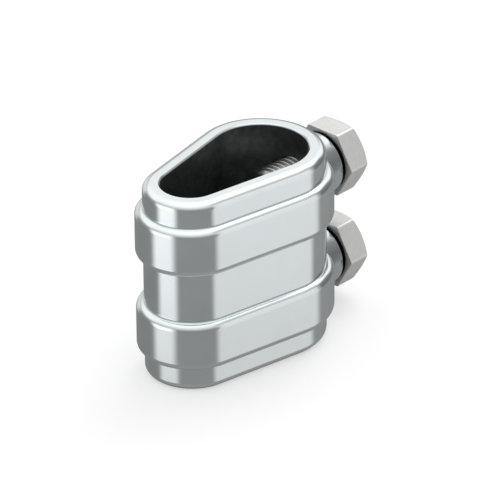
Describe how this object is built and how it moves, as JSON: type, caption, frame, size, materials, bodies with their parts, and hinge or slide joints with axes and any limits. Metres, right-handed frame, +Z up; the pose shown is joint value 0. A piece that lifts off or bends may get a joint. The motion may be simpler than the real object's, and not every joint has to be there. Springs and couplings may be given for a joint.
{
  "type": "earthing clamp",
  "caption": "Cast tapered-oval sleeve that presses two parallel round conductors together with hexagon-head screws through its wide end.",
  "frame": {"origin": "in the plane of the sleeve's bottom face, midway along X between the sleeve's narrow end and the outer faces of the screw heads, on the middle plane in Y", "axes": "+X from the narrow end to the wide end, where the screw heads are; +Z up along both conductors; Y across the sleeve"},
  "size_m": [0.0528, 0.0282, 0.04],
  "materials": {
    "cast_zinc": "smooth bright die-cast zinc, satin",
    "steel": "plain stainless steel, satin"
  },
  "bodies": {
    "sleeve": {"sleeve": "cast_zinc"},
    "lower_screw": {"lower_screw": "steel"},
    "upper_screw": {"upper_screw": "steel"}
  },
  "joints": [
    {"name": "lower_screw_travel", "type": "slide", "parent": "sleeve", "child": "lower_screw", "axis": [1, 0, 0], "range_m": [-0.0005, 0.01425]},
    {"name": "upper_screw_travel", "type": "slide", "parent": "sleeve", "child": "upper_screw", "axis": [1, 0, 0], "range_m": [-0.0005, 0.01425]}
  ]
}
